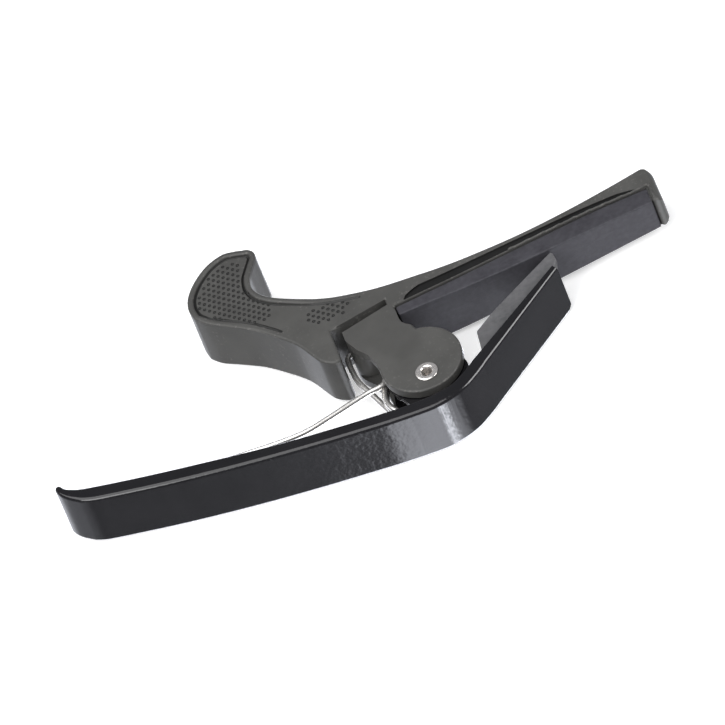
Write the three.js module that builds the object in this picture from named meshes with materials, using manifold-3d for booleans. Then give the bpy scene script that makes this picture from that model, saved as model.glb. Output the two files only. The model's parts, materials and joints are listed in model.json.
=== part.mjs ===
// Quick-change guitar capo: a sprung lever with a jaw, pivoted between two ears of the upper arm.
// Side profiles are drawn in the XY plane and extruded along Z, the direction of the pivot.
// X runs along the string bar to its free end, and Y runs from the lever to the back of the bar.
// The finished group lies on its side, with its origin under the centre of its outline.

import * as THREE from 'three';
import { mergeVertices } from 'three/addons/utils/BufferGeometryUtils.js';
import Module from 'manifold-3d';

const wasm = await Module();
wasm.setup();

// ---- driving dimensions (mm) ----

const GAP = 0.3;                        // clearance between neighbouring pieces
const PIVOT = { x: -0.5, y: -2.0 };     // pivot axis in the side profile

const LEVER_HALF_WIDTH = 7.4;           // lever and jaw, half of their width along Z
const JAW_FAR_CUT = 1.6;                // cuts across the corners of the jaw's tip
const JAW_NEAR_CUT = 0.5;
const NECK_PAD_HALF_WIDTH = 5.0;

const BODY_HALF_WIDTH = 6.9;            // block, ears and handle web
const RIM_HALF_WIDTH = 7.4;             // raised rim of the handle
const RIM_WIDTH = 1.4;
const RIM_START = -6;                   // X on the back of the arm where the rim starts
const EAR_INNER = 4.7;                  // inner face of each ear
const EAR_RADIUS = 9.6;
const LUG_OUTER = EAR_INNER - GAP;
const LUG_INNER = 3.0;
const LUG_RADIUS = 9.2;
const SPRING_WELL_RADIUS = 8.6;         // room for the coil in the inner side of the lever

const BAR_ROOT = { x: 6, halfWidth: 6.9 };
const BAR_TIP = { x: 63.9, halfWidth: 4.7 };
const BAR_TIP_RADIUS = 2.6;
const BAR_TIP_CUT = 1.2;                // across the corners of the tip in plan
const BAR_LIP = 2.2;                    // end wall that covers the end of the string pad
const STRING_PAD_START = -1.4;
const STRING_PAD_END = BAR_TIP.x - BAR_LIP - GAP;
const STRING_PAD_INSET = 0.5;           // pad is narrower than the bar by this on each side

const RIVET_SHANK_RADIUS = 1.8;
const RIVET_BORE_RADIUS = 1.25;
const RIVET_HEAD_RADIUS = 2.6;
const RIVET_HEAD_GAP = 0.05;             // between an ear and the head beside it
const RIVET_HEAD_HEIGHT = 0.45;
const SLEEVE_RADIUS = 2.5;
const PIN_HOLE_RADIUS = RIVET_SHANK_RADIUS + GAP;

const WIRE_RADIUS = 0.7;
const COIL_RADIUS = 7.6;                // to the centre of the wire
const COIL_CENTRE = { x: -3.8, y: 0.4 };
const COIL_HALF_LENGTH = 2.1;           // along Z, between the centres of the end turns
const COIL_TURNS = 3;
const COIL_JOIN_DEG = 152;              // where the long leg runs into the coil
const COIL_LEAVE_DEG = 197.6;           // where the short leg leaves it

// ---- outline helpers ----

const smooth = (guide, divisions) => new THREE.SplineCurve(
  guide.map(([x, y]) => new THREE.Vector2(x, y)),
).getPoints(divisions);

const corners = (list) => list.map(([x, y]) => new THREE.Vector2(x, y));

// Circular stretch between two angles in degrees.
function arc(centre, radius, fromDeg, toDeg, steps = 12) {
  const points = [];
  for (let i = 0; i <= steps; i += 1) {
    const angle = THREE.MathUtils.degToRad(fromDeg + ((toDeg - fromDeg) * i) / steps);
    points.push(new THREE.Vector2(centre.x + radius * Math.cos(angle), centre.y + radius * Math.sin(angle)));
  }
  return points;
}

// The same line shifted to the left of its direction by a distance that may vary along it.
function shifted(points, distanceAt) {
  return points.map((point, i) => {
    const before = points[Math.max(i - 1, 0)];
    const after = points[Math.min(i + 1, points.length - 1)];
    const along = after.clone().sub(before).normalize();
    const distance = distanceAt(i / (points.length - 1));
    return new THREE.Vector2(point.x - along.y * distance, point.y + along.x * distance);
  });
}

// Drops points that fall on their neighbour.
function withoutRepeats(points) {
  return points.filter((point, i) => point.distanceTo(points[(i + 1) % points.length]) > 1e-3);
}

// ---- solid helpers ----

function toSolid(geometry) {
  geometry.deleteAttribute('normal');
  geometry.deleteAttribute('uv');
  const merged = mergeVertices(geometry, 1e-4);
  return new wasm.Manifold(new wasm.Mesh({
    numProp: 3,
    vertProperties: new Float32Array(merged.attributes.position.array),
    triVerts: new Uint32Array(merged.index.array),
  }));
}

function toGeometry(solid) {
  const mesh = solid.getMesh();
  const geometry = new THREE.BufferGeometry();
  geometry.setAttribute('position', new THREE.BufferAttribute(new Float32Array(mesh.vertProperties), 3));
  geometry.setIndex(new THREE.BufferAttribute(new Uint32Array(mesh.triVerts), 1));
  geometry.computeVertexNormals();
  return geometry;
}

// Side outline extruded along Z.
function slab(points, low, high) {
  const shape = new THREE.Shape(withoutRepeats(points));
  const options = { depth: high - low, bevelEnabled: false, curveSegments: 1 };
  const geometry = new THREE.ExtrudeGeometry(shape, options);
  geometry.translate(0, 0, low);
  return toSolid(geometry);
}

// Plan outline in X and Z, extruded along Y far past the part.
function planSlab(points) {
  const reach = 100;
  const options = { depth: 2 * reach, bevelEnabled: false };
  const geometry = new THREE.ExtrudeGeometry(new THREE.Shape(points), options);
  geometry.rotateX(Math.PI / 2);
  geometry.translate(0, reach, 0);
  return toSolid(geometry);
}

const disc = (centre, radius, low, high, sides = 40) => slab(arc(centre, radius, 0, 360, sides), low, high);
const union = (solids) => solids.reduce((sum, solid) => sum.add(solid));

// ---- lower lever with jaw ----

const LEVER_FLOOR = smooth([
  [-84.6, 6.2], [-82.1, 5.1], [-74, 2.9], [-65, 0.7], [-54, -1.75], [-43, -4.05], [-32.7, -5.9],
  [-18.7, -7.9], [-8, -9.1], [-1.5, -9.2],
], 44);
const JAW_INNER = [{ x: 9.8, y: -4.25 }, { x: 34.9, y: 13.5 }];    // straight inner side, from bend to tip
const JAW_OUTER = [{ x: 12.9, y: -6.1 }, { x: 35.7, y: 12.2 }];
const BEND_INSIDE = smooth([[-1.5, -9.2], [3.4, -8.4], [6.9, -6.5], [JAW_INNER[0].x, JAW_INNER[0].y]], 12);
const BEND_OUTSIDE = smooth([
  [JAW_OUTER[0].x, JAW_OUTER[0].y], [10.2, -8.3], [6.4, -10.9], [2.8, -12.35], [-0.5, -13.05],
], 16);
const LEVER_UNDERSIDE = smooth([
  [-0.5, -13.05], [-3.5, -13.2], [-12.1, -12.55], [-20.6, -11.5], [-31.8, -9.95], [-43, -8.15], [-54, -6.1],
  [-65, -3.75], [-76, -1.05], [-81.4, 0.45], [-84.0, 1.7],
], 46);
const HOOK_OUTSIDE = smooth([[-84.0, 1.7], [-86.4, 3.9], [-87.8, 6.0], [-88.2, 7.6]], 8);
const HOOK_END = arc({ x: -87.35, y: 7.75 }, 0.85, 170, 15, 6);
const HOOK_INSIDE = smooth([[-86.4, 7.7], [-85.7, 6.85], [-84.6, 6.2]], 4);

const leverOutline = () => [
  ...LEVER_FLOOR,
  ...BEND_INSIDE.slice(1),
  ...corners([[JAW_INNER[1].x, JAW_INNER[1].y]]),
  ...corners([[JAW_OUTER[1].x, JAW_OUTER[1].y]]),
  ...BEND_OUTSIDE,
  ...LEVER_UNDERSIDE.slice(1),
  ...HOOK_OUTSIDE.slice(1),
  ...HOOK_END,
  ...HOOK_INSIDE.slice(0, -1),
];

// Round lug that stands on the lever beside the spring and carries the rivet.
const lugOutline = () => [
  ...arc({ x: -0.5, y: 1.2 }, LUG_RADIUS, 30, 205, 22),
  ...smooth([[-8.8, -2.9], [-7.4, -5.4], [-6.6, -8.0], [-6.4, -10.8]], 6).slice(1),
  ...corners([[0, -11.0], [5.6, -9.2], [8.6, -6.2], [8.9, -2.0]]),
];

function lowerLeverSolid() {
  const lugs = [LUG_INNER, -LUG_OUTER].map((low) => slab(lugOutline(), low, low + LUG_OUTER - LUG_INNER));
  const bar = slab(leverOutline(), -LEVER_HALF_WIDTH, LEVER_HALF_WIDTH)
    .intersect(jawTipPlan())
    .subtract(disc(PIVOT, SPRING_WELL_RADIUS, -LUG_INNER, LUG_INNER));
  return union([bar, ...lugs])
    .subtract(disc(PIVOT, PIN_HOLE_RADIUS, -LEVER_HALF_WIDTH, LEVER_HALF_WIDTH));
}

// Plan of the jaw's tip: a wide cut on its far corner and a narrow one on its near corner.
function jawTipPlan() {
  const tip = JAW_OUTER[1].x;
  const tail = -120;
  return planSlab(corners([
    [tail, -LEVER_HALF_WIDTH],
    [tip - JAW_FAR_CUT, -LEVER_HALF_WIDTH],
    [tip, -LEVER_HALF_WIDTH + JAW_FAR_CUT],
    [tip, LEVER_HALF_WIDTH - JAW_NEAR_CUT],
    [tip - JAW_NEAR_CUT, LEVER_HALF_WIDTH],
    [tail, LEVER_HALF_WIDTH],
  ]));
}

// Point on the jaw's inner side, from 0 at the bend to 1 at the tip, raised by a height.
function onJaw(part, height) {
  const [start, end] = JAW_INNER.map(({ x, y }) => new THREE.Vector2(x, y));
  const along = end.clone().sub(start).normalize();
  return start.lerp(end, part).add(new THREE.Vector2(-along.y, along.x).multiplyScalar(height));
}

// Rubber on the inner side of the jaw, thickest near the bend, with its tip against the string pad.
function neckPadSolid() {
  return slab([
    onJaw(0.12, GAP),
    onJaw(1, GAP),
    ...corners([[36.3, 16.7], [36.1, 18.9], [35.6, 19.5], [28.6, 15.4], [18.4, 9.3], [13.4, 5.6]]),
  ], -NECK_PAD_HALF_WIDTH, NECK_PAD_HALF_WIDTH);
}

// ---- upper arm ----

// Back of the arm, from the bar's tip to the nose of the handle.
const ARM_BACK = smooth([
  [61.4, 33.1], [53.2, 31.3], [42, 29.2], [30, 27.6], [18, 26.9], [11, 26.9], [6, 27.2], [-3.3, 28.2],
  [-10.8, 29.9], [-16.4, 31.7], [-21.6, 34.3], [-25.9, 37.0], [-28.6, 39.6], [-29.8, 42.4], [-29.5, 45.5],
  [-28.1, 48.2], [-26.6, 50.6],
], 100);
const NOSE = arc({ x: -28.9, y: 51.9 }, 2.6, -20, 82, 8);
const TAIL = smooth([
  [-28.55, 54.47], [-30.6, 55.2], [-33.6, 55.65], [-37.8, 54.1], [-41.6, 50.9], [-44.2, 47.2], [-45.1, 43.6],
  [-44.6, 40.2],
], 26);
// Lower side of the handle down to the finger stop.
const HANDLE_FRONT = smooth([
  [-44.6, 40.2], [-42.4, 37.5], [-38.6, 34.7], [-34, 31.2], [-29.6, 26.6], [-25.4, 21.3], [-22.9, 15.9],
  [-21.5, 13.3], [-19.1, 11.5], [-17.6, 11.6],
], 36);
// Flat underside of the bar where the string pad is glued.
const BAR_SEAT = smooth([
  [STRING_PAD_START, 21.0], [9.4, 21.9], [29.5, 24.3], [46.8, 26.3], [BAR_TIP.x - BAR_LIP, 27.2],
], 24);
const PAD_FACE = smooth([
  [STRING_PAD_START, 18.1], [12, 18.3], [24, 19.0], [36, 20.1], [48, 21.1], [STRING_PAD_END, 22.3],
], 24);
// Slot beside and above the block, for the short leg of the spring.
const SLOT = [
  [-17.2, 12.6], [-17.2, 21.2], [-3.0, 23.7], [-3.0, 21.9], [-14.8, 19.2],
];
const BLOCK_CORNER = arc({ x: -11.4, y: 17.0 }, 3.4, 180, 270, 8);
const BLOCK_BOTTOM = 13.6;

function armOutline() {
  const padEnd = STRING_PAD_START - GAP;
  const lipStart = BAR_TIP.x - BAR_LIP;
  return [
    ...BAR_SEAT,
    ...corners([[lipStart, 22.9], [lipStart + 0.5, 22.4], [BAR_TIP.x - 0.5, 22.6], [BAR_TIP.x, 23.2]]),
    ...arc({ x: BAR_TIP.x - BAR_TIP_RADIUS, y: 30.6 }, BAR_TIP_RADIUS, 0, 80, 8),
    ...ARM_BACK,
    ...NOSE,
    ...TAIL.slice(1),
    ...HANDLE_FRONT.slice(1),
    ...corners(SLOT),
    ...BLOCK_CORNER,
    ...corners([[padEnd, BLOCK_BOTTOM], [padEnd, 20.4]]),
  ];
}

// Side plate that hangs from the block and carries one end of the rivet.
const earOutline = () => [
  ...arc({ x: -0.6, y: 2.45 }, EAR_RADIUS, 180, 430, 40),
  ...smooth([[1.6, 12.6], [-1.2, 14.8], [STRING_PAD_START - GAP, 17.2]], 5),
  ...corners([[-6, 18.6], [-14.8, 18.2]]),
  ...smooth([[-14.8, 17.4], [-14.3, 14.4], [-12.8, 12.0], [-11.2, 9.4], [-10.3, 6.2]], 8),
];

// Band that follows the edge of the handle and fades out where it meets the block.
function rimOutline() {
  const back = ARM_BACK.filter((point) => point.x < RIM_START);
  const edge = [...back, ...NOSE, ...TAIL.slice(1), ...HANDLE_FRONT.slice(1, 17)];
  const width = (t) => RIM_WIDTH * Math.min(1, 6 * t, 8 * (1 - t)) + 0.02;
  return [...edge, ...shifted(edge, width).reverse()];
}

// Plan of the arm: full width at the block, tapering to the rounded tip of the bar.
function armPlan() {
  const side = (sign) => [
    [-60, sign * BAR_ROOT.halfWidth],
    [BAR_ROOT.x, sign * BAR_ROOT.halfWidth],
    [BAR_TIP.x - BAR_TIP_CUT, sign * BAR_TIP.halfWidth],
    [BAR_TIP.x, sign * (BAR_TIP.halfWidth - BAR_TIP_CUT)],
  ];
  return planSlab(corners([...side(-1), ...side(1).reverse()]));
}

function upperArmSolid() {
  const thickness = BODY_HALF_WIDTH - EAR_INNER;
  const ears = [EAR_INNER, -BODY_HALF_WIDTH].map((low) => slab(earOutline(), low, low + thickness));
  const arm = slab(armOutline(), -BODY_HALF_WIDTH, BODY_HALF_WIDTH).intersect(armPlan());
  const rim = slab(rimOutline(), -RIM_HALF_WIDTH, RIM_HALF_WIDTH);
  return union([arm, rim, ...ears])
    .subtract(disc(PIVOT, PIN_HOLE_RADIUS, -BODY_HALF_WIDTH, BODY_HALF_WIDTH));
}

function stringPadSolid() {
  const seat = BAR_SEAT.map((point) => new THREE.Vector2(Math.min(point.x, STRING_PAD_END), point.y - GAP));
  const side = (sign) => [
    [STRING_PAD_START, sign * (BAR_ROOT.halfWidth - STRING_PAD_INSET)],
    [BAR_ROOT.x, sign * (BAR_ROOT.halfWidth - STRING_PAD_INSET)],
    [STRING_PAD_END, sign * (BAR_TIP.halfWidth - STRING_PAD_INSET / 2)],
  ];
  return slab([...PAD_FACE, ...seat.reverse()], -BODY_HALF_WIDTH, BODY_HALF_WIDTH)
    .intersect(planSlab(corners([...side(-1), ...side(1).reverse()])));
}

// ---- pivot ----

// Tubular rivet: hollow shank with a rolled head over each ear.
function rivetGeometry() {
  const outside = BODY_HALF_WIDTH + RIVET_HEAD_GAP;
  const crown = outside + RIVET_HEAD_HEIGHT;
  const half = [
    [RIVET_SHANK_RADIUS, outside],
    [RIVET_HEAD_RADIUS, outside],
    [RIVET_HEAD_RADIUS + 0.05, outside + 0.25],
    [RIVET_HEAD_RADIUS - 0.35, crown],
    [RIVET_BORE_RADIUS + 0.35, crown],
    [RIVET_BORE_RADIUS, crown - 0.3],
  ];
  const mirrored = half.map(([radius, height]) => [radius, -height]).reverse();
  const profile = corners([...half, ...mirrored, half[0]]);
  const geometry = new THREE.LatheGeometry(profile, 36);
  geometry.rotateX(Math.PI / 2);
  geometry.translate(PIVOT.x, PIVOT.y, 0);
  return geometry;
}

// Spacer tube on the rivet between the lugs.
function sleeveSolid() {
  const half = LUG_INNER - GAP;
  return disc(PIVOT, SLEEVE_RADIUS, -half, half).subtract(disc(PIVOT, PIN_HOLE_RADIUS, -half - 1, half + 1));
}

// ---- torsion spring ----

// Wire route: the long leg along the lever, a coil round the sleeve, the short leg in the block's slot.
const LONG_LEG = [[-68.5, 2.9], [-58, 1.6], [-46, 0.4], [-36, -0.5], [-30.5, -0.4], [-25, 0.8], [-15, 3.2]];
const SHORT_LEG = [
  [-13.6, 5.6], [-15.6, 11.5], [-16.0, 15.5], [-16.0, 17.5], [-15.75, 19.4], [-14.6, 20.4], [-12.6, 20.9],
  [-7.4, 21.95],
];

function springGeometry() {
  const sweepDeg = 360 * (COIL_TURNS - 1) + (360 - COIL_LEAVE_DEG) + COIL_JOIN_DEG;
  const steps = 28 * COIL_TURNS;
  const coil = [];
  for (let i = 0; i <= steps; i += 1) {
    const part = i / steps;
    const angle = THREE.MathUtils.degToRad(COIL_JOIN_DEG - sweepDeg * part);
    coil.push(new THREE.Vector3(
      COIL_CENTRE.x + COIL_RADIUS * Math.cos(angle),
      COIL_CENTRE.y + COIL_RADIUS * Math.sin(angle),
      COIL_HALF_LENGTH * (1 - 2 * part),
    ));
  }
  const leg = (points, z) => points.map(([x, y]) => new THREE.Vector3(x, y, z));
  const route = [...leg(LONG_LEG, COIL_HALF_LENGTH), ...coil, ...leg(SHORT_LEG, -COIL_HALF_LENGTH)];
  const path = new THREE.CatmullRomCurve3(route, false, 'centripetal');
  const section = new THREE.Shape(arc({ x: 0, y: 0 }, WIRE_RADIUS, 0, 315, 7));
  return new THREE.ExtrudeGeometry(section, { steps: 200, extrudePath: path, bevelEnabled: false });
}

// ---- assembly ----

const capo = new THREE.Group();

function addPiece(name, geometry, color, roughness, metalness) {
  const mesh = new THREE.Mesh(geometry, new THREE.MeshStandardMaterial({ color, roughness, metalness }));
  mesh.name = name;
  capo.add(mesh);
}

addPiece('upper_arm', toGeometry(upperArmSolid()), 0x45443f, 0.5, 0.3);
addPiece('string_pad', toGeometry(stringPadSolid()), 0x3b3a40, 0.75, 0);
addPiece('lower_lever', toGeometry(lowerLeverSolid()), 0x1c1b1d, 0.25, 0.3);
addPiece('neck_pad', toGeometry(neckPadSolid()), 0x4a4a4a, 0.7, 0);
addPiece('torsion_spring', toGeometry(toSolid(springGeometry())), 0xd0ccc6, 0.25, 1);
addPiece('pivot_rivet', toGeometry(toSolid(rivetGeometry())), 0xd8d2cc, 0.25, 1);
addPiece('pivot_sleeve', toGeometry(sleeveSolid()), 0xa8a49c, 0.4, 1);

const outline = new THREE.Box3().setFromObject(capo);
capo.position.set(
  -(outline.min.x + outline.max.x) / 2,
  -(outline.min.y + outline.max.y) / 2,
  -outline.min.z,
);

export default capo;
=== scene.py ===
"""Quick-change guitar capo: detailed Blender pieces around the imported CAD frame.

Meshes are worked in millimetres in the row frame and scaled to metres when a piece is finished.
Side-profile coordinates (X along the bar, Y away from the lever, Z along the pivot) start at the pivot.
"""

import json
import math

import bmesh
import bpy
import numpy as np
from mathutils import Matrix, Vector


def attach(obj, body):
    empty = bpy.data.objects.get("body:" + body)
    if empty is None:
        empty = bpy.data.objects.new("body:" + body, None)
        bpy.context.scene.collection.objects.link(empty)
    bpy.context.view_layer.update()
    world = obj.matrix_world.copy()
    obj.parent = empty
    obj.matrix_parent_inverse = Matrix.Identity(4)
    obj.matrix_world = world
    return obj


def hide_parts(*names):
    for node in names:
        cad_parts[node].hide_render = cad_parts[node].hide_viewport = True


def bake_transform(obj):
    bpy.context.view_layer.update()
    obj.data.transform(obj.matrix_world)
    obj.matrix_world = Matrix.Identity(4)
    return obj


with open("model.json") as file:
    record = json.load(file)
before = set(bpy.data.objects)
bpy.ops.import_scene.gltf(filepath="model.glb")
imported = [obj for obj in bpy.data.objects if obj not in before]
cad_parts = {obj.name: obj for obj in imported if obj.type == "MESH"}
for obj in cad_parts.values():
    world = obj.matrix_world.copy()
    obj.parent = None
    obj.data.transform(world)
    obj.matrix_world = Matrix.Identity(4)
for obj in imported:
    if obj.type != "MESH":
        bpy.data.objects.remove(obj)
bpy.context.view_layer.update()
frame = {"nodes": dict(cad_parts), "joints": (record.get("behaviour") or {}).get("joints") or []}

MM = 0.001
JOINT = next(j for j in frame["joints"] if j["name"] == "lever_pivot")
PIVOT = Vector(JOINT["pos_m"]) / MM          # row frame, mm
PIVOT_IN_PROFILE = Vector((-0.5, -2.0, 0.0))  # the same point in the side profile's own axes


def row(x, y, z=0.0):
    """Row-frame point (mm) of a side-profile point."""
    return PIVOT + Vector((x, y, z)) - PIVOT_IN_PROFILE


def profile(point):
    """Side-profile point of a row-frame point (mm)."""
    return Vector(point) - PIVOT + PIVOT_IN_PROFILE


# ---- mesh helpers ----


def node_bmesh(node):
    """A CAD node's surface in mm, welded, with its flat faces joined into polygons."""
    bm = bmesh.new()
    bm.from_mesh(frame["nodes"][node].data)
    bmesh.ops.scale(bm, vec=(1 / MM,) * 3, verts=bm.verts)
    bmesh.ops.remove_doubles(bm, verts=bm.verts, dist=0.002)
    bmesh.ops.dissolve_limit(
        bm, angle_limit=math.radians(0.4), verts=bm.verts, edges=bm.edges, use_dissolve_boundaries=False
    )
    return bm


def new_object(name, mesh):
    obj = bpy.data.objects.new(name, mesh)
    bpy.context.scene.collection.objects.link(obj)
    return obj


def mesh_object(name, bm):
    mesh = bpy.data.meshes.new(name)
    bm.to_mesh(mesh)
    bm.free()
    return new_object(name, mesh)


def apply_modifiers(obj):
    graph = bpy.context.evaluated_depsgraph_get()
    made = bpy.data.meshes.new_from_object(obj.evaluated_get(graph))
    old = obj.data
    obj.modifiers.clear()
    obj.data = made
    bpy.data.meshes.remove(old)


def section(node, z):
    """Longest loop of a CAD node's outline at a height, anticlockwise, as 2D profile points."""
    bm = node_bmesh(node)
    bmesh.ops.bisect_plane(
        bm, geom=[*bm.verts, *bm.edges, *bm.faces], dist=1e-4, plane_co=row(0, 0, z), plane_no=(0, 0, 1),
        clear_inner=True, clear_outer=True,
    )
    best = []
    seen = set()
    for start in bm.verts:
        loop = []
        vert = start
        while vert is not None and vert not in seen:
            seen.add(vert)
            point = profile(vert.co).xy
            if not loop or (point - loop[-1]).length > 0.02:
                loop.append(point)
            others = (edge.other_vert(vert) for edge in vert.link_edges)
            vert = next((other for other in others if other not in seen), None)
        if len(loop) > len(best):
            best = loop
    bm.free()
    area = sum(p.x * q.y - q.x * p.y for p, q in zip(best, best[1:] + best[:1]))
    return best if area > 0 else best[::-1]


def inset(loop, distance, share=None):
    """An anticlockwise loop moved inwards, by a share of the distance where the function share says so."""
    moved = []
    for before, point, after in zip(loop[-1:] + loop[:-1], loop, loop[1:] + loop[:1]):
        a = (point - before).normalized()
        b = (after - point).normalized()
        side_a = Vector((-a.y, a.x))
        side_b = Vector((-b.y, b.x))
        reach = distance * share(point) if share else distance
        moved.append(point + (side_a + side_b) / max(1 + side_a.dot(side_b), 0.3) * reach)
    return moved


def bridge(bm, rings):
    """Adds the faces between neighbouring rings of vertices, and one face across each end."""
    for low, high in zip(rings, rings[1:]):
        for i in range(len(low)):
            k = (i + 1) % len(low)
            bm.faces.new((low[i], low[k], high[k], high[i]))
    bm.faces.new(rings[0][::-1])
    bm.faces.new(rings[-1])


def stacked(name, loops):
    """Closed body through (loop of 2D points, z) levels of as many points each, from low to high."""
    bm = bmesh.new()
    bridge(bm, [[bm.verts.new(row(p.x, p.y, z)) for p in loop] for loop, z in loops])
    return mesh_object(name, bm)


def rounded_slab(name, loop, low, high, radius_low, radius_high, steps=5, share=None):
    """The loop extruded from low to high with both rims rounded."""
    levels = []
    for z, radius, sign in ((low, radius_low, 1), (high, radius_high, -1)):
        turn = []
        for k in range(steps + 1 if radius > 0 else 1):
            angle = math.pi / 2 * k / steps
            rim = inset(loop, radius * (1 - math.sin(angle)), share)
            turn.append((rim, z + sign * radius * (1 - math.cos(angle))))
        levels += turn if sign > 0 else turn[::-1]
    return stacked(name, levels)


def boolean(obj, other, operation):
    """Joins, cuts or keeps the shared part of two closed bodies; the second is used up."""
    made = obj.modifiers.new(operation, "BOOLEAN")
    made.operation = operation
    made.solver = "MANIFOLD"
    made.object = other
    apply_modifiers(obj)
    bpy.data.objects.remove(other)
    return obj


def store(mesh, name, values, domain="POINT"):
    layer = mesh.attributes.get(name) or mesh.attributes.new(name, "FLOAT", domain)
    layer.data.foreach_set("value", np.asarray(values, np.float32))


def paint_shade(obj, value):
    """Sets the share of painted shade (darkening towards near-black) that the faces of a body show, also
    where it has cut another body.
    """
    store(obj.data, "painted_shade", np.full(len(obj.data.polygons), value), "FACE")
    return obj


def edge_wear(mesh):
    """Stores how far the surface bends outwards at each vertex, 0 on flats to 1 on tight edges."""
    count = len(mesh.vertices)
    co = np.empty(count * 3)
    mesh.vertices.foreach_get("co", co)
    co = co.reshape(-1, 3)
    normal = np.array([v.normal for v in mesh.vertices]).reshape(-1, 3)
    ends = np.empty(len(mesh.edges) * 2, int)
    mesh.edges.foreach_get("vertices", ends)
    a, b = ends.reshape(-1, 2).T
    step = co[b] - co[a]
    length2 = np.maximum((step**2).sum(1), 1e-4)
    bend = np.zeros(count)
    np.maximum.at(bend, a, -(normal[a] * step).sum(1) / length2)
    np.maximum.at(bend, b, (normal[b] * step).sum(1) / length2)
    store(mesh, "wear", np.clip(bend / 0.9, 0, 1))


def complete(obj, body, material, replaced=None, smooth_deg=35):
    """Stores where the surface bends, scales the piece to metres, shades it and hangs it on its body."""
    mesh = obj.data
    if "wear" not in mesh.attributes:
        edge_wear(mesh)
    mesh.transform(Matrix.Scale(MM, 4))
    mesh.shade_smooth()
    mesh.set_sharp_from_angle(angle=math.radians(smooth_deg))
    mesh.materials.clear()
    mesh.materials.append(material)
    weighted = obj.modifiers.new("normals", "WEIGHTED_NORMAL")
    weighted.keep_sharp = True
    if body:
        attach(obj, body)
    if replaced:
        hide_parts(replaced)
    return obj


def catmull(points, gap):
    """Centripetal Catmull-Rom curve through the points, sampled about every gap mm."""
    ends = [points[0] * 2 - points[1], *points, points[-1] * 2 - points[-2]]
    line = []
    for p0, p1, p2, p3 in zip(ends, ends[1:], ends[2:], ends[3:]):
        t0 = 0.0
        t1 = t0 + math.sqrt((p1 - p0).length)
        t2 = t1 + math.sqrt((p2 - p1).length)
        t3 = t2 + math.sqrt((p3 - p2).length)
        count = max(1, round((p2 - p1).length / gap))
        for i in range(count):
            t = t1 + (t2 - t1) * i / count
            a1 = p0 * ((t1 - t) / (t1 - t0)) + p1 * ((t - t0) / (t1 - t0))
            a2 = p1 * ((t2 - t) / (t2 - t1)) + p2 * ((t - t1) / (t2 - t1))
            a3 = p2 * ((t3 - t) / (t3 - t2)) + p3 * ((t - t2) / (t3 - t2))
            b1 = a1 * ((t2 - t) / (t2 - t0)) + a2 * ((t - t0) / (t2 - t0))
            b2 = a2 * ((t3 - t) / (t3 - t1)) + a3 * ((t - t1) / (t3 - t1))
            line.append(b1 * ((t2 - t) / (t2 - t1)) + b2 * ((t - t1) / (t2 - t1)))
    return [*line, points[-1]]


TUBE_END = [(0.0, 0.6), (0.12, 0.88)]    # distance from the end, mm, and share of the radius there


def tube(line, radius, sides=14):
    """Round bar along a line, with softened ends."""
    count = len(line)
    bm = bmesh.new()
    stations = []
    across = Vector((0, 0, 1))
    for i, point in enumerate(line):
        along = (line[min(i + 1, count - 1)] - line[max(i - 1, 0)]).normalized()
        across = (across - along * across.dot(along)).normalized()
        stations.append((point, along, across.copy(), along.cross(across)))
    start, end = stations[0], stations[-1]
    layers = [(start[0] + start[1] * depth, start, scale) for depth, scale in TUBE_END]
    layers += [(station[0], station, 1.0) for station in stations[1:-1]]
    layers += [(end[0] - end[1] * depth, end, scale) for depth, scale in TUBE_END[::-1]]
    rings = []
    for centre, station, scale in layers:
        rings.append([
            bm.verts.new(
                centre
                + station[2] * (radius * scale * math.cos(2 * math.pi * k / sides))
                + station[3] * (radius * scale * math.sin(2 * math.pi * k / sides))
            )
            for k in range(sides)
        ])
    bridge(bm, rings)
    bmesh.ops.recalc_face_normals(bm, faces=bm.faces)
    return bm


def in_polygon(x, y, corners):
    inside = False
    for (x0, y0), (x1, y1) in zip(corners, corners[1:] + corners[:1]):
        if (y0 > y) != (y1 > y) and x < (x1 - x0) * (y - y0) / (y1 - y0) + x0:
            inside = not inside
    return inside


# ---- materials ----


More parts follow.
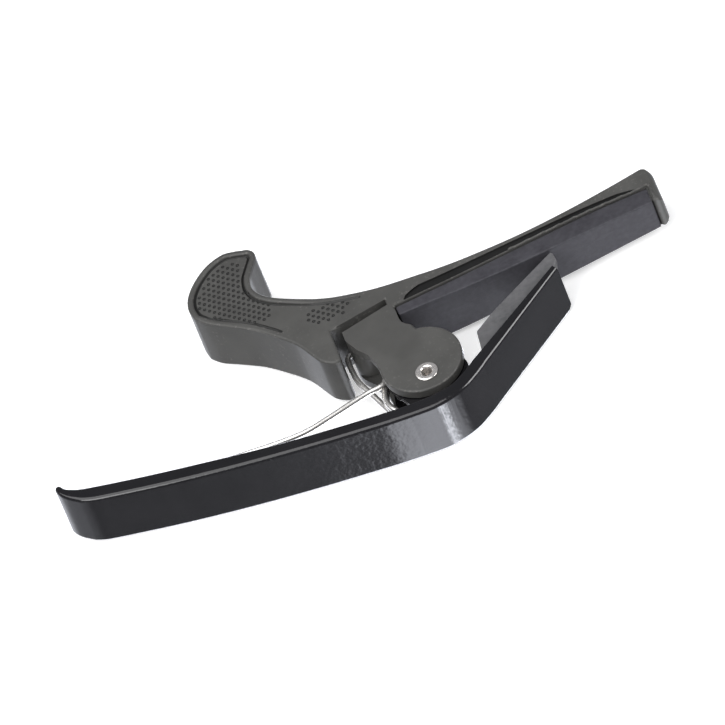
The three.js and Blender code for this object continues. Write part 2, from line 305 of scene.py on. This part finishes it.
class Nodes:
    """Small helper that adds and links shader nodes."""

    def __init__(self, name):
        self.material = bpy.data.materials.new(name)
        self.material.use_nodes = True
        self.tree = self.material.node_tree
        self.shader = self.tree.nodes["Principled BSDF"]
        self.place = self.add("ShaderNodeTexCoord").outputs["Object"]

    def add(self, kind, **values):
        node = self.tree.nodes.new(kind)
        for key, value in values.items():
            setattr(node, key, value)
        return node

    def link(self, source, target):
        self.tree.links.new(source, target)

    def noise(self, size_mm, detail=3.0, roughness=0.55, stretch=(1, 1, 1)):
        mapping = self.add("ShaderNodeMapping")
        mapping.inputs["Scale"].default_value = stretch
        self.link(self.place, mapping.inputs["Vector"])
        node = self.add("ShaderNodeTexNoise")
        node.inputs["Scale"].default_value = 1 / (size_mm * MM)
        node.inputs["Detail"].default_value = detail
        node.inputs["Roughness"].default_value = roughness
        self.link(mapping.outputs["Vector"], node.inputs["Vector"])
        return node.outputs["Fac"]

    def spread(self, source, low, high, out_low=0.0, out_high=1.0):
        node = self.add("ShaderNodeMapRange")
        for key, value in zip(("From Min", "From Max", "To Min", "To Max"), (low, high, out_low, out_high)):
            node.inputs[key].default_value = value
        self.link(source, node.inputs["Value"])
        return node.outputs["Result"]

    def math(self, operation, a, b):
        node = self.add("ShaderNodeMath", operation=operation)
        for socket, value in zip(node.inputs, (a, b)):
            if isinstance(value, (int, float)):
                socket.default_value = value
            else:
                self.link(value, socket)
        return node.outputs["Value"]

    def mix(self, fac, colour_a, colour_b):
        node = self.add("ShaderNodeMix", data_type="RGBA")
        self.link(fac, node.inputs["Factor"])
        for socket, value in ((node.inputs[6], colour_a), (node.inputs[7], colour_b)):
            if isinstance(value, tuple):
                socket.default_value = (*value, 1)
            else:
                self.link(value, socket)
        return node.outputs[2]

    def stored(self, name):
        return self.add("ShaderNodeAttribute", attribute_name=name).outputs["Fac"]

    def bump(self, height, micrometres, below=None):
        node = self.add("ShaderNodeBump")
        node.inputs["Strength"].default_value = 1.0
        node.inputs["Distance"].default_value = micrometres * 1e-6
        self.link(height, node.inputs["Height"])
        if below is not None:
            self.link(below, node.inputs["Normal"])
        return node.outputs["Normal"]

    def finish(self, colour=None, roughness=None, normal=None, **fixed):
        if colour is not None:
            self.link(colour, self.shader.inputs["Base Color"])
        if roughness is not None:
            self.link(roughness, self.shader.inputs["Roughness"])
        if normal is not None:
            self.link(normal, self.shader.inputs["Normal"])
        for key, value in fixed.items():
            self.shader.inputs[key.replace("_", " ")].default_value = value
        return self.material


def cast_coating():
    """Satin charcoal coat over a casting."""
    n = Nodes("arm_coating")
    broad = n.noise(9.0, 3)
    grain = n.noise(0.35, 2)
    colour = n.mix(n.spread(broad, 0.35, 0.65), (0.064, 0.063, 0.06), (0.078, 0.077, 0.073))
    worn = n.math("MULTIPLY", n.stored("wear"), n.spread(n.noise(0.8, 4), 0.52, 0.72))
    colour = n.mix(n.spread(worn, 0.15, 0.8, 0.0, 0.5), colour, (0.17, 0.165, 0.155))
    # painted shade: faces marked with painted_shade are mixed towards near-black, standing in for the shadow
    # in grooves, recesses and pits
    colour = n.mix(n.stored("painted_shade"), colour, (0.004, 0.004, 0.004))
    rough = n.math("ADD", n.spread(broad, 0.3, 0.7, 0.36, 0.46), n.spread(grain, 0.3, 0.7, -0.03, 0.03))
    normal = n.bump(grain, 7, n.bump(n.noise(2.4, 2), 14))
    return n.finish(colour, rough, normal, Specular_IOR_Level=0.3)


def lever_paint():
    """Gloss black paint with orange peel."""
    n = Nodes("lever_paint")
    peel = n.noise(1.1, 1.5, 0.4)
    fine = n.noise(0.4, 2)
    broad = n.noise(14.0, 2)
    colour = n.mix(n.spread(broad, 0.35, 0.65), (0.007, 0.0067, 0.0078), (0.01, 0.0096, 0.011))
    worn = n.math("MULTIPLY", n.stored("wear"), n.spread(n.noise(0.6, 4), 0.56, 0.74))
    colour = n.mix(n.spread(worn, 0.2, 0.9, 0.0, 0.35), colour, (0.12, 0.118, 0.125))
    rough = n.math("ADD", n.spread(broad, 0.3, 0.7, 0.1, 0.14), n.spread(fine, 0.3, 0.7, -0.02, 0.02))
    normal = n.bump(fine, 1.5, n.bump(peel, 24))
    return n.finish(colour, rough, normal, Specular_IOR_Level=0.6)


def rubber(name, dark, light, rough_low, rough_high, grain_um):
    """Moulded rubber with scuffs and fine grain."""
    n = Nodes(name)
    broad = n.noise(6.0, 3)
    scuff = n.spread(n.noise(1.6, 5, 0.65, (0.25, 1.0, 1.0)), 0.56, 0.72)
    colour = n.mix(n.spread(broad, 0.35, 0.65), dark, light)
    pale = tuple(c * 1.9 for c in light)
    colour = n.mix(n.spread(scuff, 0, 1, 0.0, 0.35), colour, pale)
    rubbed = n.spread(n.math("MULTIPLY", n.stored("wear"), n.noise(1.2, 3)), 0.25, 0.7, 0.0, 0.45)
    colour = n.mix(rubbed, colour, pale)
    grain = n.noise(0.22, 3, 0.6)
    rough = n.math("ADD", n.spread(broad, 0.3, 0.7, rough_low, rough_high), n.spread(scuff, 0, 1, 0.0, 0.06))
    normal = n.bump(grain, grain_um, n.bump(n.noise(3.0, 2), 10))
    return n.finish(colour, rough, normal, Specular_IOR_Level=0.2)


def bright_metal(name, colour_a, colour_b, rough_low, rough_high):
    """Nickel or steel with faint drawing marks and spots."""
    n = Nodes(name)
    spots = n.spread(n.noise(0.5, 4, 0.6), 0.5, 0.75)
    streak = n.noise(0.25, 3, 0.6, (0.15, 1.0, 1.0))
    colour = n.mix(n.spread(spots, 0, 1, 0.0, 0.6), colour_a, colour_b)
    drawn = n.spread(streak, 0.3, 0.7, rough_low, rough_high)
    rough = n.math("ADD", drawn, n.spread(spots, 0, 1, 0.0, 0.08))
    normal = n.bump(streak, 2.5)
    return n.finish(colour, rough, normal, Metallic=0.8)


ARM = cast_coating()
PAINT = lever_paint()
STRING_RUBBER = rubber("string_rubber", (0.036, 0.035, 0.041), (0.047, 0.046, 0.053), 0.5, 0.6, 6)
NECK_RUBBER = rubber("neck_rubber", (0.085, 0.085, 0.088), (0.105, 0.104, 0.108), 0.5, 0.6, 6)
WIRE = bright_metal("spring_wire", (0.86, 0.84, 0.81), (0.5, 0.47, 0.44), 0.14, 0.24)
PLATING = bright_metal("rivet_plating", (0.78, 0.75, 0.72), (0.5, 0.46, 0.42), 0.14, 0.24)
STEEL = bright_metal("sleeve_steel", (0.55, 0.54, 0.51), (0.35, 0.33, 0.3), 0.28, 0.42)

# ---- upper arm ----

BODY_HALF_WIDTH = 6.9
RIM_HALF_WIDTH = 7.4
RIM_WIDTH = 1.4
SKIN = 0.01                           # a hull stands this far outside the walls that it leaves alone
HULL_SINK = 0.005                     # and this far inside the flat sides
BAR_ROOT = (6.0, 6.9)                 # X and half width where the bar starts to taper
BAR_TIP = (62.7, 4.7)
BAR_END = (63.9, 3.5)
ARM_FILLET = 0.6
EAR_CENTRE = (-0.6, 2.45)
EAR_RADIUS = 9.6
EAR_START_DEG = 170.0                 # from the front of the block round under the pivot to the bar
EAR_SWEEP_DEG = 270.0
EAR_STEPS = 48
EAR_FILLET = 0.5
BLOCK_BEHIND_EARS = [(-1.0, 18.0), (-3.0, 24.0), (-15.6, 24.0), (-15.6, 17.0), (-13.5, 12.0)]
RIM_START = Vector((-6.0, 28.85))
RIM_END = Vector((-27.6, 24.4))
BEAD_SIDES = 16
BEAD_POWER = 0.8                      # below 1 gives the bead's section fuller shoulders
BEAD_ROOT = 0.9                       # how deep the bead is sunk into the face
BEAD_END_DROP = 0.36                  # how much deeper it lies at its ends
PITCH_A = Vector((0.94, -0.95))       # dimple lattice steps, mm
PITCH_B = Vector((-0.41, -1.56))
DIMPLE_START = Vector((-31.9, 51.9))
DIMPLE_RADIUS = 0.46
DIMPLE_SINK = 0.1                     # centre of the ball above the face
TAIL_FIELD = [
    (-32.6, 52.55), (-30.5, 51.25), (-31.0, 48.05), (-32.3, 43.75), (-30.6, 40.15), (-26.6, 34.55),
    (-28.6, 32.55), (-31.5, 31.55), (-35.0, 33.95), (-39.4, 37.45), (-42.4, 41.15), (-42.7, 44.15),
    (-41.6, 46.95), (-39.2, 50.15), (-36.0, 52.35),
]
BLOCK_FIELD = [(-21.6, 26.0), (-20.8, 28.9), (-15.2, 29.5), (-10.8, 27.3), (-12.6, 24.5), (-19.5, 23.8)]
BAR_SEAT = [(-1.4, 21.0), (9.4, 21.9), (29.5, 24.3), (46.8, 26.3), (61.7, 27.2)]
GROOVE_INSET = 1.7                    # from the edge of the handle to the middle of the channel
GROOVE_RADIUS = 0.38
RECESS_START = 0.5
RECESS_END = 60.0
RECESS_LIP = 0.2
RECESS_WIDTH = (2.4, 1.2)             # at the block and at the tip
RECESS_DEPTH = 0.4
FLASH_START = 27.0
FLASH_END = [(60.6, 27.5), (61.7, 27.7), (62.2, 26.9), (62.2, 25.2), (62.3, 23.6)]    # round the pad's end
FLASH_RADIUS = 0.3
GLUE = [(61.2, 23.0), (61.9, 22.8), (61.9, 27.4), (61.2, 27.4)]
GLUE_MIDDLE = 61.5                    # along X
GLUE_EDGE = 0.1
GLUE_SINK = 0.45                      # inside the bar's flat sides


def bar_half_width(x):
    return float(np.interp(x, *zip((-100.0, BAR_ROOT[1]), BAR_ROOT, BAR_TIP, BAR_END)))


def follow_taper(obj):
    """Moves a body drawn against the block's flat sides in to the sides of the tapering bar."""
    for vert in obj.data.vertices:
        place = profile(vert.co)
        narrowing = BODY_HALF_WIDTH - bar_half_width(place.x)
        vert.co.z -= math.copysign(narrowing, place.z)
    return obj


def arm_hull():
    """Body of the arm with rounded edges, following the taper of the bar."""
    loop = inset(section("upper_arm", 0.0), -SKIN)
    top = BODY_HALF_WIDTH - HULL_SINK
    hull = rounded_slab("arm_hull", loop, -top, top, ARM_FILLET, ARM_FILLET)
    bm = bmesh.new()
    bm.from_mesh(hull.data)
    for x, _ in (BAR_ROOT, BAR_TIP):
        bmesh.ops.bisect_plane(
            bm, geom=[*bm.verts, *bm.edges, *bm.faces], dist=1e-4, plane_co=row(x, 0), plane_no=(1, 0, 0)
        )
    bm.to_mesh(hull.data)
    bm.free()
    return follow_taper(hull)


def ear_hull():
    """Both ears with their rims rounded, and the block behind them."""
    loop = []
    for k in range(EAR_STEPS + 1):
        angle = math.radians(EAR_START_DEG + EAR_SWEEP_DEG * k / EAR_STEPS)
        x = EAR_CENTRE[0] + (EAR_RADIUS + SKIN) * math.cos(angle)
        y = EAR_CENTRE[1] + (EAR_RADIUS + SKIN) * math.sin(angle)
        loop.append(Vector((x, y)))
    loop += [Vector(p) for p in BLOCK_BEHIND_EARS]
    top = BODY_HALF_WIDTH - HULL_SINK
    return rounded_slab("ear_hull", loop, -top, top, EAR_FILLET, EAR_FILLET)


def rim_line(distance):
    """The edge of the handle from the nose's root round to the finger stop, moved inwards."""
    loop = section("upper_arm", 0.0)
    first = min(range(len(loop)), key=lambda i: (loop[i] - RIM_START).length)
    line = loop[first:] + loop[:first]
    last = min(range(len(line)), key=lambda i: (line[i] - RIM_END).length)
    return inset(line[: last + 1], distance)[1:-1]


def rim_beads():
    """Rounded bead along the edge of the handle, on both sides, sinking away at its ends."""
    inner = rim_line(RIM_WIDTH / 2)
    count = len(inner)
    bm = bmesh.new()
    for side in (-1, 1):
        rings = []
        for i, point in enumerate(inner):
            along = (inner[min(i + 1, count - 1)] - inner[max(i - 1, 0)]).normalized()
            across = Vector((-along.y, along.x))
            t = i / (count - 1)
            rise = min(1.0, 5 * t, 7 * (1 - t))
            rise = rise * rise * (3 - 2 * rise)
            height = (RIM_HALF_WIDTH - BODY_HALF_WIDTH) * rise
            ring = []
            for k in range(BEAD_SIDES):
                angle = 2 * math.pi * k / BEAD_SIDES
                c, s = math.cos(angle), math.sin(angle)
                reach = RIM_WIDTH / 2 * math.copysign(abs(c) ** BEAD_POWER, c)
                lift = math.copysign(abs(s) ** BEAD_POWER, s)
                z = BODY_HALF_WIDTH + (height if lift > 0 else BEAD_ROOT) * lift
                z -= BEAD_END_DROP * (1 - rise)
                place = point + across * reach
                ring.append(bm.verts.new(row(place.x, place.y, side * z)))
            rings.append(ring)
        bridge(bm, rings)
    bmesh.ops.recalc_face_normals(bm, faces=bm.faces)
    return mesh_object("rim_beads", bm)


def dimples():
    """One mesh of small balls, where both flat sides of the handle get their pits."""
    bm = bmesh.new()
    for field in (TAIL_FIELD, BLOCK_FIELD):
        for i in range(-40, 60):
            for j in range(-40, 60):
                x, y = DIMPLE_START + PITCH_A * i + PITCH_B * j
                if not in_polygon(x, y, field):
                    continue
                for side in (-1, 1):
                    place = row(x, y, side * (BODY_HALF_WIDTH + DIMPLE_SINK))
                    bmesh.ops.create_icosphere(
                        bm, subdivisions=2, radius=DIMPLE_RADIUS, matrix=Matrix.Translation(place)
                    )
    return mesh_object("dimples", bm)


def seat_line(lift, first, last):
    """Points along the joint between bar and pad, moved towards the back of the bar by lift mm."""
    guide = [Vector((x, y, 0)) for x, y in BAR_SEAT]
    return [Vector((p.x, p.y + lift)) for p in catmull(guide, 0.8) if first <= p.x <= last]


def bar_recess(side):
    """Shallow recess along one flat side of the bar, above the pad joint."""
    lower = seat_line(RECESS_LIP, RECESS_START, RECESS_END)
    count = len(lower) - 1
    upper = []
    for i, point in enumerate(lower):
        t = i / count
        full = RECESS_WIDTH[0] + (RECESS_WIDTH[1] - RECESS_WIDTH[0]) * t
        upper.append(point + Vector((0, full * min(1.0, (12 * t) ** 0.5, (12 * (1 - t)) ** 0.5))))
    loop = [*lower, *upper[1:-1][::-1]]
    outer, floor = BODY_HALF_WIDTH + 0.5, BODY_HALF_WIDTH - RECESS_DEPTH
    low, high = (floor, outer) if side > 0 else (-outer, -floor)
    return follow_taper(rounded_slab("bar_recess", loop, low, high, 0, 0))


def pad_end_glue():
    """Glue that fills the joint between the end of the string pad and the lip of the bar."""
    loop = [Vector(p) for p in GLUE]
    reach = bar_half_width(GLUE_MIDDLE) - GLUE_SINK
    return rounded_slab("pad_end_glue", loop, -reach, reach, GLUE_EDGE, GLUE_EDGE)


def flash_line(side):
    """Uneven bead of casting flash and glue along the joint between bar and pad."""
    path = seat_line(0.12, FLASH_START, RECESS_END)
    path += [p.xy for p in catmull([Vector((x, y, 0)) for x, y in FLASH_END], 0.5)]
    line = []
    for i, point in enumerate(path):
        wave = math.sin(1.9 * i) * math.sin(0.63 * i + 1.0)
        z = side * (bar_half_width(point.x) - 0.05 + 0.08 * wave)
        line.append(row(point.x, point.y + 0.06 * wave, z))
    return mesh_object("flash_line", tube(line, FLASH_RADIUS, 10))


def rim_groove():
    """Narrow channel along the inner foot of the rim, on both sides."""
    line = rim_line(GROOVE_INSET)
    body = None
    for side in (-1, 1):
        route = [row(p.x, p.y, side * (BODY_HALF_WIDTH + 0.02)) for p in line]
        made = mesh_object("rim_groove", tube(route, GROOVE_RADIUS, 8))
        body = boolean(body, made, "UNION") if body else made
    return body


arm = mesh_object("arm_casting", node_bmesh("upper_arm"))
boolean(arm, boolean(arm_hull(), ear_hull(), "UNION"), "INTERSECT")
paint_shade(arm, 0.0)
# painted shade: the groove inside the rim is also darkened 0.75 in colour, as the shadow along the foot of
# the bead
boolean(arm, paint_shade(rim_groove(), 0.75), "DIFFERENCE")
boolean(arm, paint_shade(rim_beads(), 0.0), "UNION")
for face in (-1, 1):
    # painted shade: each bar recess is darkened 0.95 in colour, as the shadowed band below the lit upper
    # part of the bar's side
    boolean(arm, paint_shade(bar_recess(face), 0.95), "DIFFERENCE")
    boolean(arm, paint_shade(flash_line(face), 0.0), "UNION")
# painted shade: the glue filling the pad-end joint is darkened 0.6 in colour, as the shadow in that joint
boolean(arm, paint_shade(pad_end_glue(), 0.6), "UNION")
edge_wear(arm.data)
# painted shade: the pits are darkened 0.8 in colour, as the shadow inside each dimple
boolean(arm, paint_shade(dimples(), 0.8), "DIFFERENCE")
complete(arm, "upper", ARM, "upper_arm")

# ---- lower lever ----

LEVER_HALF_WIDTH = 7.4
LEVER_FILLET = 0.95
JAW_MIDDLE = (Vector((11.3, -5.2)), Vector((35.3, 12.85)))    # half way through its thickness
LUG_REACH = 4.5                       # the lugs stand inside this half width


def lever_fillet_share(point):
    """Less rounding at the thin hook, and most of the jaw's thickness rounded away on its outer side."""
    start, end = JAW_MIDDLE
    along = (end - start).normalized()
    outer = along.cross(point - start) < 0
    at_jaw = 1.35 if outer else 0.4
    at_tip = 0.95 if outer else 0.4
    return float(np.interp(point.x, (-88.0, -84.0, 2.0, 14.0, 36.0), (0.55, 1.0, 1.0, at_jaw, at_tip)))


def lever_hull():
    """The lever's bar with rounded edges, and a slab that keeps the lugs between them."""
    loop = inset(section("lower_lever", 5.0), -SKIN)
    hull = rounded_slab(
        "lever_hull", loop, -LEVER_HALF_WIDTH, LEVER_HALF_WIDTH, LEVER_FILLET, LEVER_FILLET,
        steps=6, share=lever_fillet_share,
    )
    lugs = [Vector(p) for p in ((-20, -14), (20, -14), (20, 14), (-20, 14))]
    return boolean(hull, rounded_slab("lugs", lugs, -LUG_REACH, LUG_REACH, 0, 0), "UNION")


lever = mesh_object("lever_casting", node_bmesh("lower_lever"))
boolean(lever, lever_hull(), "INTERSECT")
complete(lever, "lever", PAINT, "lower_lever")

# ---- rubber pads ----

CORNER_PLAN = [(36.6, 5.2), (35.3, 1.0), (34.9, -2.5), (33.6, -5.5), (40.0, -5.5), (40.0, 5.2)]
CORNER_HEIGHTS = (10.0, 22.0)         # along Y, from below the pad to above it


def rounded_pad(name, node, radius):
    """A pad with every edge rounded by the same radius."""
    obj = mesh_object(name, node_bmesh(node))
    bevel = obj.modifiers.new("fillet", "BEVEL")
    bevel.limit_method = "ANGLE"
    bevel.angle_limit = math.radians(30)
    bevel.width = radius
    bevel.segments = 4
    bevel.use_clamp_overlap = False
    apply_modifiers(obj)
    return obj


def neck_pad_corner():
    """Wedge past the jaw's tip that trims the far corner of the neck pad."""
    bm = bmesh.new()
    bridge(bm, [[bm.verts.new(row(x, y, z)) for x, z in CORNER_PLAN] for y in CORNER_HEIGHTS])
    bmesh.ops.recalc_face_normals(bm, faces=bm.faces)
    return mesh_object("neck_pad_corner", bm)


pad = rounded_pad("string_pad_rubber", "string_pad", 0.4)
complete(pad, "upper", STRING_RUBBER, "string_pad")

neck = rounded_pad("neck_pad_rubber", "neck_pad", 0.3)
boolean(neck, neck_pad_corner(), "DIFFERENCE")
complete(neck, "lever", NECK_RUBBER, "neck_pad")

# ---- pivot ----

rivet = rounded_pad("rivet_tube", "pivot_rivet", 0.1)
complete(rivet, "upper", PLATING, "pivot_rivet")

sleeve = rounded_pad("sleeve_tube", "pivot_sleeve", 0.1)
complete(sleeve, "upper", STEEL, "pivot_sleeve")

# ---- torsion spring ----

WIRE_RADIUS = 0.7
COIL_CENTRE = (-3.8, 0.4)
COIL_RADIUS = 7.6
COIL_HALF_LENGTH = 2.1
COIL_TURNS = 3
COIL_START_DEG = 152.0
COIL_END_DEG = 197.6
COIL_STEPS = 28                       # points to a turn
LONG_LEG = [(-68.5, 2.9), (-58, 1.6), (-46, 0.4), (-36, -0.5), (-30.5, -0.4), (-25, 0.8), (-15, 3.2)]
SHORT_LEG = [
    (-13.6, 5.6), (-15.6, 11.5), (-16.0, 15.5), (-16.0, 17.5), (-15.75, 19.4), (-14.6, 20.4), (-12.6, 20.9),
    (-7.4, 21.95),
]


def spring_route():
    points = [row(x, y, COIL_HALF_LENGTH) for x, y in LONG_LEG]
    sweep = 360 * (COIL_TURNS - 1) + (360 - COIL_END_DEG) + COIL_START_DEG
    steps = COIL_STEPS * COIL_TURNS
    for i in range(steps + 1):
        angle = math.radians(COIL_START_DEG - sweep * i / steps)
        points.append(row(
            COIL_CENTRE[0] + COIL_RADIUS * math.cos(angle),
            COIL_CENTRE[1] + COIL_RADIUS * math.sin(angle),
            COIL_HALF_LENGTH * (1 - 2 * i / steps),
        ))
    return points + [row(x, y, -COIL_HALF_LENGTH) for x, y in SHORT_LEG]


spring = mesh_object("spring_wire", tube(catmull(spring_route(), 0.45), WIRE_RADIUS))
complete(spring, None, WIRE, "torsion_spring", 50)
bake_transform(spring)

# ---- floor, light and camera ----

ROOM_BRIGHTNESS = 0.22
WALL_BRIGHTNESS = 14.0
PAPER_BRIGHTNESS = 1.2
WALL_ALONG_X = [
    (0.0, 0.04), (0.2, 0.035), (0.27, 0.004), (0.416, 0.02), (0.438, 0.31), (0.585, 0.28), (0.598, 1.0),
    (0.612, 1.0), (0.63, 0.2), (0.7, 0.14), (0.725, 0.016), (1.0, 0.013),
]
PAPER_AT_THE_BACK = [(0.0, 0.0), (0.6, 0.0), (0.72, 1.0), (1.0, 1.0)]
LOW_IN_THE_ROOM = [(0.0, 1.0), (0.2, 1.0), (0.42, 0.0), (1.0, 0.0)]
FLOOR_SIZE = 4.0
FLOOR_DROP = 0.0001                   # below the object, so that the two don't share a plane
FLOOR_GLOW = 0.45
CAMERA_LENS = 880
CAMERA_DISTANCE = 4.0
CAMERA_ELEVATION_DEG = 47.0
CAMERA_ROLL_DEG = 22.4
CAMERA_TARGET = (-13.07, 8.7, 6.4)    # side profile, mm


def plain_floor():
    bm = bmesh.new()
    bmesh.ops.create_grid(bm, x_segments=1, y_segments=1, size=FLOOR_SIZE)
    floor = mesh_object("floor", bm)
    floor.location.z = -FLOOR_DROP
    n = Nodes("floor")
    n.finish(Base_Color=(0.8, 0.8, 0.8, 1), Roughness=0.9, Specular_IOR_Level=0.1)
    n.shader.inputs["Emission Color"].default_value = (1, 1, 1, 1)
    n.shader.inputs["Emission Strength"].default_value = FLOOR_GLOW
    floor.data.materials.append(n.material)
    floor.visible_glossy = False


def studio():
    """Dim room with a bright wall low in front, brightest at one end, for the glossy sides to mirror."""
    world = bpy.data.worlds.new("studio")
    world.use_nodes = True
    tree = world.node_tree
    towards = tree.nodes.new("ShaderNodeTexCoord").outputs["Generated"]
    split = tree.nodes.new("ShaderNodeSeparateXYZ")
    tree.links.new(towards, split.inputs["Vector"])

    def ramp(source, stops):
        scaled = tree.nodes.new("ShaderNodeMapRange")
        scaled.inputs["From Min"].default_value = -1
        tree.links.new(source, scaled.inputs["Value"])
        node = tree.nodes.new("ShaderNodeValToRGB")
        marks = node.color_ramp.elements
        while len(marks) < len(stops):
            marks.new(0.5)
        for mark, (place, value) in zip(marks, stops):
            mark.position = place
            mark.color = (value, value, value, 1)
        tree.links.new(scaled.outputs["Result"], node.inputs["Fac"])
        return node.outputs["Color"]

    def combine(operation, *inputs):
        node = tree.nodes.new("ShaderNodeMath")
        node.operation = operation
        for socket, value in zip(node.inputs, inputs):
            if isinstance(value, float):
                socket.default_value = value
            else:
                tree.links.new(value, socket)
        return node.outputs["Value"]

    low = ramp(split.outputs["Z"], LOW_IN_THE_ROOM)
    wall = combine("MULTIPLY", ramp(split.outputs["X"], WALL_ALONG_X), low)
    paper = combine("MULTIPLY", ramp(split.outputs["Y"], PAPER_AT_THE_BACK), low)
    lit = combine("MULTIPLY_ADD", paper, PAPER_BRIGHTNESS, ROOM_BRIGHTNESS)
    level = combine("MULTIPLY_ADD", wall, WALL_BRIGHTNESS, lit)
    background = tree.nodes["Background"]
    background.inputs["Color"].default_value = (0.9, 0.925, 1.0, 1)
    tree.links.new(level, background.inputs["Strength"])
    return world


def area_light(name, place, target, size, watts):
    light = bpy.data.lights.new(name, "AREA")
    light.shape = "RECTANGLE"
    light.size, light.size_y = size
    light.energy = watts
    obj = new_object(name, light)
    obj.location = place
    obj.rotation_mode = "QUATERNION"
    obj.rotation_quaternion = (Vector(target) - Vector(place)).to_track_quat("-Z", "Y")
    obj.visible_camera = False


def camera():
    """Looks along +Y and down, rolled so that the bar rises to the right."""
    data = bpy.data.cameras.new("camera")
    data.lens = CAMERA_LENS
    data.sensor_width = 36
    data.clip_end = CAMERA_DISTANCE * 10
    obj = new_object("camera", data)
    elevation = math.radians(CAMERA_ELEVATION_DEG)
    roll = math.radians(CAMERA_ROLL_DEG)
    back = Vector((0, -math.cos(elevation), math.sin(elevation)))
    level = Vector((1, 0, 0))
    up = back.cross(level)
    side = level * math.cos(roll) - up * math.sin(roll)
    top = level * math.sin(roll) + up * math.cos(roll)
    rotation = Matrix((side, top, back)).transposed()
    place = row(*CAMERA_TARGET) * MM + back * CAMERA_DISTANCE
    obj.matrix_world = Matrix.Translation(place) @ rotation.to_4x4()
    bpy.context.scene.camera = obj


scene = bpy.context.scene
scene.view_settings.view_transform = "Standard"
scene.world = studio()
plain_floor()
area_light("key", (-0.35, -0.1, 0.9), (0, 0, 0), (1.4, 1.1), 11.5)
area_light("front", (-0.55, -0.62, 0.6), (0, 0, 0), (0.45, 0.45), 3)
area_light("side", (0.73, -0.32, 0.49), (0.02, 0, 0), (0.4, 0.5), 4.5)
camera()
